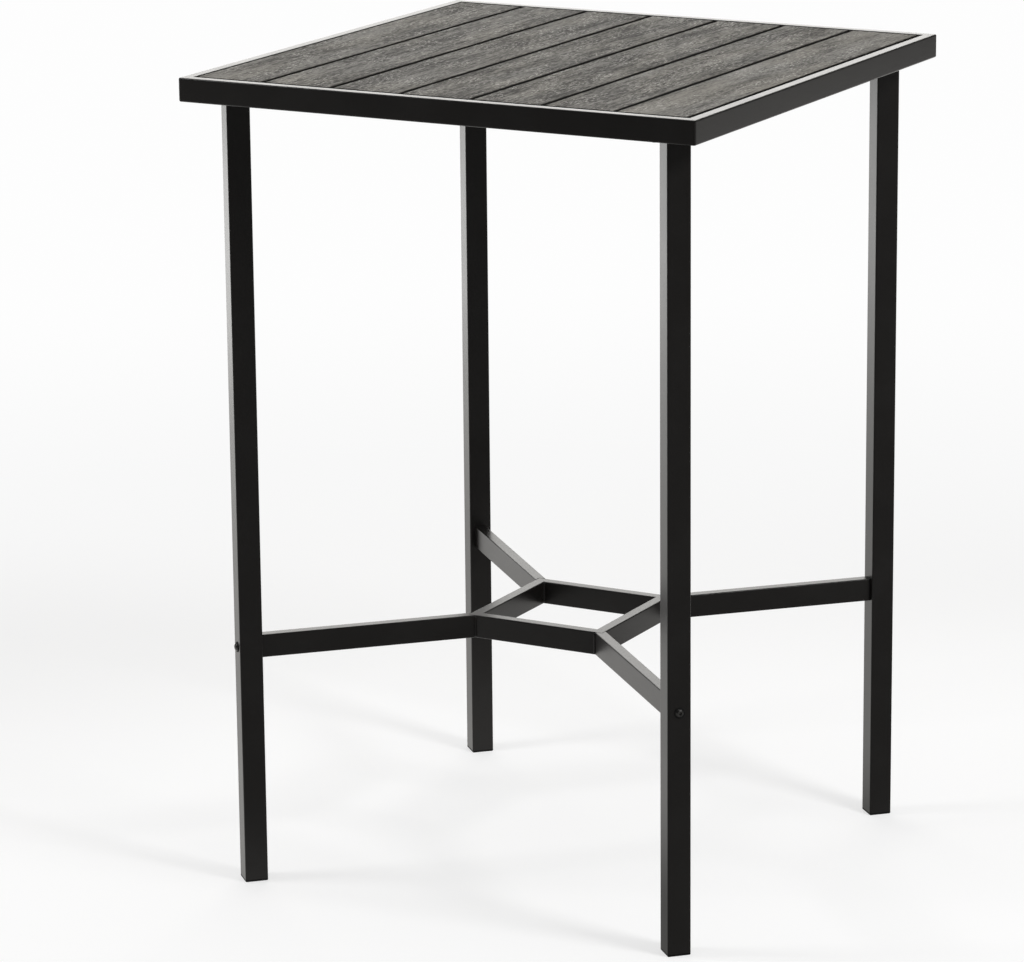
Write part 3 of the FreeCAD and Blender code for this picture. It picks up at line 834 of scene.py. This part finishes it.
@dataclass
class SlatDeck:
    """The planks of the top, with their embossed grain as relief.

    Attributes:
        columns: cells across a slat.
        rows: cells along a slat.
        edge_radius: radius of the long upper edges.
        end_radius: radius of the sawn ends' upper edges.
        edge_steps: facets of a rounded edge.
        edge_grain: the grain where the rounding starts.
        foot_chamfer: chamfer of the lower edges.
        relief: depth of the deepest grooves.
        fibre: size of one groove, across and along.
        fibre_layers: gain, spacing and number of the layers of grooves.
        fibre_share: how much the grooves count in the grain.
        figure: size of the slower waves of the grain, across and along.
        figure_share: how much the waves count in the grain.
        wander: how far the grain wanders sideways.
        middle_grain: the grain halfway between grooves and ridges.
        grain_span: the grain in a groove and on a ridge.
        board_depth: how far apart two slats lie in the noise.
        tones: how much paler each slat is made, one value per slat.
    """

    columns: int = 104
    rows: int = 230
    edge_radius: float = 0.001
    end_radius: float = 0.0004
    edge_steps: int = 3
    edge_grain: float = 0.62
    foot_chamfer: float = 0.0008
    relief: float = 0.00032
    fibre: Span = (0.0013, 0.011)
    fibre_layers: tuple[float, float, int] = (0.8, 2.2, 3)
    fibre_share: float = 0.75
    figure: Span = (0.011, 0.085)
    figure_share: float = 0.18
    wander: float = 0.0022
    middle_grain: float = 0.62
    grain_span: Span = (0.25, 1.0)
    board_depth: float = 7.3
    tones: tuple[float, ...] = (0.05, 0.0, -0.02, -0.03, -0.03, 0.02, 0.19)

    def build(self) -> None:
        """Model and dress every slat."""
        for number in range(1, len(self.tones) + 1):
            node = f"slat_{number}"
            low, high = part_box(node)
            finish_piece(f"{node}_plank", self._plank(low, high, number), PLANK, (node,))

    def _plank(self, low: Vector, high: Vector, number: int) -> Shape:
        """Model one slat.

        Args:
            low: the lowest corner of its box.
            high: the highest corner.
            number: which slat it is, so that no two have the same grain.

        Returns:
            The slat.
        """
        shape = bmesh.new()
        bmesh.ops.create_grid(shape, x_segments=self.columns, y_segments=self.rows, size=1.0)
        grain_layer = shape.verts.layers.float.new(GRAIN)
        board_layer = shape.verts.layers.float.new(BOARD)
        tone_layer = shape.verts.layers.float.new(TONE)
        middle = (low + high) / 2
        half = (high - low) / 2
        for vert in shape.verts:
            x = vert.co.x * (half.x - self.edge_radius)
            y = vert.co.y * (half.y - self.end_radius)
            grain = self._grain(x, y, number)
            vert[grain_layer] = grain
            vert.co = (middle.x + x, middle.y + y, high.z - (1 - grain) * self.relief)
        self._close(shape, middle, half)
        for vert in shape.verts:
            vert[board_layer] = number
            vert[tone_layer] = self.tones[number - 1]
        return shape

    def _grain(self, x: float, y: float, number: int) -> float:
        """Give the grain at a place on a slat's face.

        Args:
            x: the place across the slat.
            y: the place along the slat.
            number: which slat it is.

        Returns:
            The grain, within its span.
        """
        depth = self.board_depth * number
        figure = noise.noise(Vector((x / self.figure[0], y / self.figure[1], depth)))
        shifted = x + self.wander * figure
        fibre = Vector((shifted / self.fibre[0], y / self.fibre[1], depth))
        lines = noise.fractal(fibre, *self.fibre_layers)
        grain = self.middle_grain + self.fibre_share * lines + self.figure_share * figure
        groove, ridge = self.grain_span
        return min(ridge, max(groove, grain))

    def _close(self, shape: Shape, middle: Vector, half: Vector) -> None:
        """Roll the face over its edges and add the slat's sides, lower chamfer and underside.

        Args:
            shape: the slat's face.
            middle: the middle of the slat's box.
            half: half of the box's size.
        """
        grain_layer = shape.verts.layers.float[GRAIN]
        edge_x = (half.x - self.edge_radius) * (1 - 1 / self.columns)
        edge_y = (half.y - self.end_radius) * (1 - 1 / self.rows)
        rim = [edge for edge in shape.edges if edge.is_boundary]
        for inset_x, inset_y, depth, grain in self._sections(2 * half.z):
            made = bmesh.ops.extrude_edge_only(shape, edges=rim)["geom"]
            rim = [item for item in made if isinstance(item, bmesh.types.BMEdge)]
            for vert in (item for item in made if isinstance(item, bmesh.types.BMVert)):
                reach = vert.co - middle
                if abs(reach.x) > edge_x:
                    vert.co.x = middle.x + math.copysign(half.x - inset_x, reach.x)
                if abs(reach.y) > edge_y:
                    vert.co.y = middle.y + math.copysign(half.y - inset_y, reach.y)
                vert.co.z = middle.z + half.z - depth
                vert[grain_layer] = grain
        bmesh.ops.contextual_create(shape, geom=rim)
        bmesh.ops.recalc_face_normals(shape, faces=shape.faces)

    def _sections(self, thickness: float) -> list[tuple[float, float, float, float]]:
        """Give the steps down a slat's side.

        Args:
            thickness: the slat's thickness.

        Returns:
            For each step the inset from the long edges and from the ends, the depth and the grain.
        """
        steps = []
        for step in range(1, self.edge_steps + 1):
            share = step / self.edge_steps
            inset = 1 - math.sin(share * math.pi / 2)
            depth = self.edge_radius * (1 - math.cos(share * math.pi / 2))
            grain = self.edge_grain * (1 - share)
            steps.append((self.edge_radius * inset, self.end_radius * inset, depth, grain))
        steps.append((0.0, 0.0, thickness - self.foot_chamfer, 0.0))
        steps.append((self.foot_chamfer, self.foot_chamfer, thickness, 0.0))
        return steps


@dataclass
class Stretcher:
    """The low stretcher: a square hub, four arms and the beads that weld them.

    Attributes:
        bead_radius: radius of a weld bead.
        bead_margin: how far a bead stays from the tube's top and bottom.
        ripple: distance between a bead's ripples.
        ripple_depth: share of the radius that a ripple takes.
        bead_sides: facets round a bead.
        rings_per_ripple: rings that shape one ripple.
        bluntness: how blunt a bead's tips are, 0 being pointed.
    """

    bead_radius: float = 0.0021
    bead_margin: float = 0.0012
    ripple: float = 0.0024
    ripple_depth: float = 0.16
    bead_sides: int = 12
    rings_per_ripple: int = 4
    bluntness: float = 0.15

    def build(self) -> None:
        """Dress the tubes and weld them together."""
        dress(names("hub_bar", Side) + names("stretcher_arm", Corner), COAT)
        for corner in Corner:
            shape = bmesh.new()
            for place in self._bead_places():
                self._add_bead(shape, place)
            bmesh.ops.transform(shape, matrix=corner.turn, verts=shape.verts)
            finish_piece(f"hub_weld_{corner.value}", shape, COAT)

    @staticmethod
    def _bead_places() -> list[Vector]:
        """Give where the front left corner's beads stand, on the floor plan.

        Returns:
            One place in the hub's inner corner and one on each side of the arm.
        """
        low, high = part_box("hub_bar_front")
        bar = high.y - low.y
        outer = low.y
        inner = low.y + bar
        beside_arm = bar / 2 * math.sqrt(2)
        return [
            Vector((inner, inner, 0)),
            Vector((outer, outer + beside_arm, 0)),
            Vector((outer + beside_arm, outer, 0)),
        ]

    def _add_bead(self, shape: Shape, place: Vector) -> None:
        """Add one upright bead with its ripples.

        Args:
            shape: what the bead is added to.
            place: where it stands, on the floor plan.
        """
        low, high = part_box("hub_bar_front")
        start = low.z + self.bead_margin
        length = high.z - low.z - 2 * self.bead_margin
        rings = round(length / self.ripple * self.rings_per_ripple)
        ring = bmesh.ops.create_circle(
            shape,
            segments=self.bead_sides,
            radius=1.0,
            cap_ends=True,
            matrix=Matrix.Translation(place),
        )["verts"]
        loop = list({edge for vert in ring for edge in vert.link_edges})
        for step in range(rings + 1):
            if step:
                made = bmesh.ops.extrude_edge_only(shape, edges=loop)["geom"]
                loop = [item for item in made if isinstance(item, bmesh.types.BMEdge)]
                ring = [item for item in made if isinstance(item, bmesh.types.BMVert)]
            self._set_ring(ring, place, start + length * step / rings, step / rings, length)
        bmesh.ops.contextual_create(shape, geom=loop)
        bmesh.ops.recalc_face_normals(shape, faces=shape.faces)

    def _set_ring(
        self, ring: list[bmesh.types.BMVert], place: Vector, height: float, share: float, length: float
    ) -> None:
        """Put one ring of a bead at its height with its radius.

        Args:
            ring: the ring's vertices.
            place: the bead's middle, on the floor plan.
            height: the ring's height.
            share: how far along the bead it is, from 0 to 1.
            length: the bead's length.
        """
        along = share * length
        ripple = 1 - self.ripple_depth * (along / self.ripple % 1)
        end = min(along, length - along) / self.bead_radius
        radius = self.bead_radius * ripple * math.sqrt(min(1.0, self.bluntness + end))
        for vert in ring:
            outwards = Vector((vert.co.x - place.x, vert.co.y - place.y, 0)).normalized()
            vert.co = Vector((place.x, place.y, height)) + outwards * radius


@dataclass
class LegSet:
    """The four legs with their plates and plastic feet."""

    def build(self) -> None:
        """Dress the legs and feet."""
        dress(names("leg", Corner) + names("leg_plate", Corner), COAT)
        dress(names("foot_cap", Corner), FOOT_BLACK)


@dataclass
class UnderFrame:
    """What carries the slats inside the rim."""

    def build(self) -> None:
        """Dress the gussets, ledges and rails."""
        ends = [Side.FRONT, Side.BACK]
        dress(names("corner_gusset", Corner), COAT)
        dress([f"{stem}_{end.value}" for stem in ("slat_ledge", "cross_rail") for end in ends], COAT)


@dataclass
class Fixings:
    """Bolts, screws, washers, sleeves and plugs, with the rings under the stretcher's bolt heads.

    Attributes:
        leg_half: half of a leg's side.
        ring_inner: inner radius of a ring.
        ring_outer: its outer radius.
        ring_height: its thickness.
        ring_chamfer: chamfer of its outer edge.
        ring_steps: facets round it.
    """

    leg_half: float = 0.015
    ring_inner: float = 0.0053
    ring_outer: float = 0.0068
    ring_height: float = 0.001
    ring_chamfer: float = 0.0003
    ring_steps: int = 40

    def build(self) -> None:
        """Dress the fixings and lay the rings."""
        dress(["stretcher_bolts", "leg_bolts", "leg_bolt_washers"], BOLT_BLACK)
        dress(["slat_screws"], STAINLESS)
        dress(["bolt_sleeves"] + names("arm_end_plug", Corner), ALUMINIUM)
        # The rings are near black: a washer, and also painted shade round each bolt head.
        ring = self._ring()
        for corner in Corner:
            finish_piece(f"bolt_ring_{corner.value}", turned(ring, corner.turn), RING_BLACK)
        ring.free()

    def _ring(self) -> Shape:
        """Model the front left leg's ring.

        Returns:
            The ring.
        """
        chamfered = self.ring_outer - self.ring_chamfer
        shoulder = self.ring_height - self.ring_chamfer
        outline = (
            (self.ring_inner, 0.0),
            (self.ring_inner, self.ring_height),
            (chamfered, self.ring_height),
            (self.ring_outer, shoulder),
            (self.ring_outer, 0.0),
        )
        shape = bmesh.new()
        verts = [shape.verts.new((radius, 0.0, height)) for radius, height in outline]
        edges = [shape.edges.new(pair) for pair in zip(verts, verts[1:] + verts[:1])]
        bmesh.ops.spin(
            shape,
            geom=verts + edges,
            cent=(0, 0, 0),
            axis=(0, 0, 1),
            angle=math.tau,
            steps=self.ring_steps,
            use_merge=True,
        )
        bmesh.ops.recalc_face_normals(shape, faces=shape.faces)
        bmesh.ops.transform(shape, matrix=self._bolt_place(), verts=shape.verts)
        return shape

    def _bolt_place(self) -> Matrix:
        """Give the frame of the front left bolt, with its Z axis out of the leg."""
        leg_low, leg_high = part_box("leg_front_left")
        bolts_low, bolts_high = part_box("stretcher_bolts")
        outwards = Vector((-1, -1, 0)).normalized()
        place = (leg_low + leg_high) / 2 + outwards * self.leg_half
        place.z = (bolts_low.z + bolts_high.z) / 2
        return Matrix.Translation(place) @ outwards.to_track_quat("Z", "Y").to_matrix().to_4x4()


@dataclass(frozen=True)
class SoftBox:
    """A studio lamp behind a diffuser.

    Attributes:
        name: the lamp's name.
        place: its middle.
        aim: what it looks at.
        size: its width and height.
        radiance: how bright its face is, 1 being white.
        colour: colour of its light.
    """

    name: str
    place: Point
    aim: Point
    size: Span
    radiance: float
    colour: Rgb = WHITE

    def build(self) -> None:
        """Add the lamp."""
        light = bpy.data.lights.new(self.name, "AREA")
        light.shape = "RECTANGLE"
        light.size, light.size_y = self.size
        light.energy = self.radiance * math.pi * self.size[0] * self.size[1]
        light.color = self.colour
        direction = Vector(self.aim) - Vector(self.place)
        turn = direction.to_track_quat("-Z", "Y").to_matrix().to_4x4()
        put(self.name, light).matrix_world = Matrix.Translation(self.place) @ turn


@dataclass(frozen=True)
class Camera:
    """The photograph's point of view.

    Attributes:
        place: where the camera stands.
        yaw: turn to the left of straight back.
        pitch: tilt downwards.
        roll: turn about the line of sight.
        lens: focal length in millimetres.
        sensor: sensor width in millimetres.
    """

    place: Point = (2.67577, -5.08719, 1.98353)
    yaw: float = 0.49708
    pitch: float = 0.25335
    roll: float = -0.009623
    lens: float = 161.4
    sensor: float = 36.0

    def build(self) -> None:
        """Add the camera and look through it."""
        data = bpy.data.cameras.new("photo_camera")
        data.lens = self.lens
        data.sensor_width = self.sensor
        level = Matrix.Rotation(self.yaw, 4, "Z") @ Matrix.Rotation(math.pi / 2 - self.pitch, 4, "X")
        turn = level @ Matrix.Rotation(self.roll, 4, "Z")
        camera = put("photo_camera", data)
        camera.matrix_world = Matrix.Translation(self.place) @ turn
        bpy.context.scene.camera = camera


@dataclass
class Studio:
    """A pale sweep, soft lamps and the camera.

    Attributes:
        white: how bright the backdrop looks, 1 being white.
        glow: how bright reflections show the backdrop, in front of the table and behind it.
        glow_from: direction of the backdrop, in which that glow grows.
        glow_span: how far towards that direction the glow starts and is full.
        glow_top: how steep a direction sees the last of the glow, and none of it.
        tint: colour that the backdrop and the floor have in reflections.
        sheen: how bright reflections show the floor, on its dull side, its bright side and far off.
        sheen_from: direction in which the floor grows brighter.
        sheen_turn: distances in that direction between which the dull side gives way to the bright side.
        sheen_rise: distances between which the bright side grows to its far brightness.
        ambient: brightness of the room's scattered light.
        floor_radius: radius of the floor.
        floor_sides: facets round the floor.
        dimness: how much painted shade darkens the floor's white round the table.
        dim_reach: distances between which that painted shade fades out.
        shadow_reach: distance over which the floor's shading fades out.
        shadow_share: how much of the floor's own shading shows.
        shadow_base: how much of the white that shading takes the place of, by the table and behind it.
        shadow_turn: distances behind the table between which the second of these takes over.
        floor_albedo: how much light the floor throws back.
        lamps: the studio's lamps.
    """

    white: float = 0.985
    glow: Span = (0.07, 0.3)
    glow_from: Point = (-0.6, 0.8, 0.0)
    glow_span: Span = (-0.5, 1.0)
    glow_top: Span = (0.35, 0.65)
    tint: Rgb = WARM_WHITE
    sheen: tuple[float, float, float] = (0.46, 1.2, 1.6)
    sheen_from: Point = (-0.85, 0.53, 0.0)
    sheen_turn: Span = (-0.25, 0.25)
    sheen_rise: Span = (1.5, 2.4)
    ambient: float = 0.2
    floor_radius: float = 6.0
    floor_sides: int = 96
    dimness: float = 0.06
    dim_reach: Span = (1.4, 3.6)
    shadow_reach: Span = (0.9, 2.2)
    shadow_share: float = 0.45
    shadow_base: Span = (0.73, 0.88)
    shadow_turn: Span = (0.4, 1.2)
    floor_albedo: float = 0.8
    lamps: tuple[SoftBox, ...] = (
        SoftBox("back_softbox", (-1.75, 2.85, 1.7), (-0.1, 0.0, 0.8), (3.0, 1.7), 2.85, WARM_WHITE),
        SoftBox("left_strip", (-2.75, 1.45, 0.3), (0.0, 0.0, 0.5), (3.0, 0.6), 1.6),
        SoftBox("overhead_softbox", (0.0, 0.0, 3.2), (0.0, 0.0, 0.0), (2.4, 2.4), 0.95),
        SoftBox("right_fill", (2.9, 0.2, 1.2), (0.0, 0.0, 0.6), (1.8, 1.6), 0.9),
        SoftBox("right_lamp", (2.4, -0.47, 2.7), (0.0, 0.0, 0.3), (0.7, 0.7), 28.0),
        SoftBox("left_lamp", (-1.6, -1.1, 2.4), (0.0, 0.0, 0.3), (0.6, 0.6), 16.0),
    )

    def build(self) -> None:
        """Set the studio up."""
        bpy.context.scene.view_settings.view_transform = "Standard"
        Camera().build()
        for lamp in self.lamps:
            lamp.build()
        self._build_floor()
        self._build_world()

    def _build_floor(self) -> None:
        """Lay the floor, which keeps the table's shadow and can be looked through from below."""
        shape = bmesh.new()
        bmesh.ops.create_circle(shape, cap_ends=True, segments=self.floor_sides, radius=self.floor_radius)
        mesh = bpy.data.meshes.new("studio_floor")
        shape.to_mesh(mesh)
        shape.free()
        material = bpy.data.materials.new("studio_floor")
        self._shade_floor(ShaderTree(material))
        mesh.materials.append(material)
        floor = put("studio_floor", mesh)

    def _shade_floor(self, tree: ShaderTree) -> None:
        """Build the floor's material.

        Args:
            tree: the material's nodes.
        """
        shows_white, mirrors = self._rays(tree)
        place = tree.place()
        grey = (self.floor_albedo,) * 3
        cloth = tree.add("ShaderNodeBsdfDiffuse", None, {"Color": (*grey, 1.0)})
        sheen = self._floor_sheen(tree, place)
        bounced = tree.add("ShaderNodeMixShader", None, {0: mirrors, 1: cloth, 2: sheen})
        seen = self._floor_white(tree, place)
        upper = tree.add("ShaderNodeMixShader", None, {0: shows_white, 1: bounced, 2: seen})
        clear = tree.add("ShaderNodeBsdfTransparent")
        under = tree.add("ShaderNodeNewGeometry", output="Backfacing")
        tree.surface(tree.add("ShaderNodeMixShader", None, {0: under, 1: upper, 2: clear}))

    def _floor_white(self, tree: ShaderTree, place: Term) -> Term:
        """Build the white that the camera sees, with the table's shadow.

        Args:
            tree: the floor's nodes.
            place: the place on the floor.

        Returns:
            The shader.
        """
        distance = tree.add("ShaderNodeVectorMath", {"operation": "LENGTH"}, {0: place}, "Value")
        shading = self.shadow_share * (1 - distance.ramp(*self.shadow_reach))
        shaded = tree.add("ShaderNodeBsdfDiffuse", None, {"Color": shading})
        # Painted shade: the camera's white is darker round the table and fades back to the backdrop's
        # white further out.
        shaded_white = self.white - self.dimness * (1 - distance.ramp(*self.dim_reach))
        near, behind = self.shadow_base
        backwards = self._along(tree, place, self.glow_from)
        base = near + (behind - near) * backwards.ramp(*self.shadow_turn)
        white = tree.add("ShaderNodeEmission", None, {"Strength": shaded_white - shading * base})
        return tree.add("ShaderNodeAddShader", None, {0: shaded, 1: white})

    def _floor_sheen(self, tree: ShaderTree, place: Term) -> Term:
        """Build the floor that reflections show.

        Args:
            tree: the floor's nodes.
            place: the place on the floor.

        Returns:
            The shader.
        """
        dull, bright_side, far_off = self.sheen
        along = self._along(tree, place, self.sheen_from)
        turned_bright = (bright_side - dull) * along.ramp(*self.sheen_turn)
        strength = dull + turned_bright + (far_off - bright_side) * along.ramp(*self.sheen_rise)
        return tree.add("ShaderNodeEmission", None, {"Color": (*self.tint, 1.0), "Strength": strength})

    def _build_world(self) -> None:
        """Surround the table with scattered light, and with white where the camera looks."""
        world = bpy.data.worlds.new("studio")
        bpy.context.scene.world = world
        tree = ShaderTree(world)
        shows_white, mirrors = self._rays(tree)
        direction = tree.add("ShaderNodeTexCoord", output="Generated")
        levels = ((WHITE, self.ambient), (self.tint, self._glow(tree, direction)), (WHITE, self.white))
        scattered, glow, white = (
            tree.add("ShaderNodeBackground", None, {"Color": (*colour, 1.0), "Strength": level})
            for colour, level in levels
        )
        bounced = tree.add("ShaderNodeMixShader", None, {0: mirrors, 1: scattered, 2: glow})
        seen = tree.add("ShaderNodeMixShader", None, {0: shows_white, 1: bounced, 2: white})
        tree.add("ShaderNodeOutputWorld", None, {"Surface": seen})

    def _glow(self, tree: ShaderTree, direction: Term) -> Term:
        """Give how bright reflections show the backdrop.

        Args:
            tree: the world's nodes.
            direction: the way from the table.

        Returns:
            The brightness.
        """
        front, back = self.glow
        along = self._along(tree, direction, self.glow_from)
        height = tree.add("ShaderNodeSeparateXYZ", None, {0: direction}, "Z")
        level = front + (back - front) * along.ramp(*self.glow_span)
        return level * (1 - height.ramp(*self.glow_top))

    @staticmethod
    def _rays(tree: ShaderTree) -> tuple[Term, Term]:
        """Tell the rays that see white from those that mirror.

        Args:
            tree: the nodes of the floor or of the world.

        Returns:
            1 for rays from the camera or through glass, and 1 for reflected rays.
        """
        rays = tree.add("ShaderNodeLightPath", output="Is Camera Ray")
        return rays + rays.output("Is Transmission Ray"), rays.output("Is Glossy Ray")

    @staticmethod
    def _along(tree: ShaderTree, place: Term, direction: Point) -> Term:
        """Give how far a place lies in a direction."""
        sockets = {0: place, 1: direction}
        return tree.add("ShaderNodeVectorMath", {"operation": "DOT_PRODUCT"}, sockets, "Value")


def main() -> None:
    """Build every sub-assembly, then the studio."""
    logging.basicConfig(level=logging.INFO, format="%(message)s")
    for assembly in (Rim(), SlatDeck(), Stretcher(), LegSet(), UnderFrame(), Fixings(), Studio()):
        assembly.build()


if __name__ == "__main__":
    main()
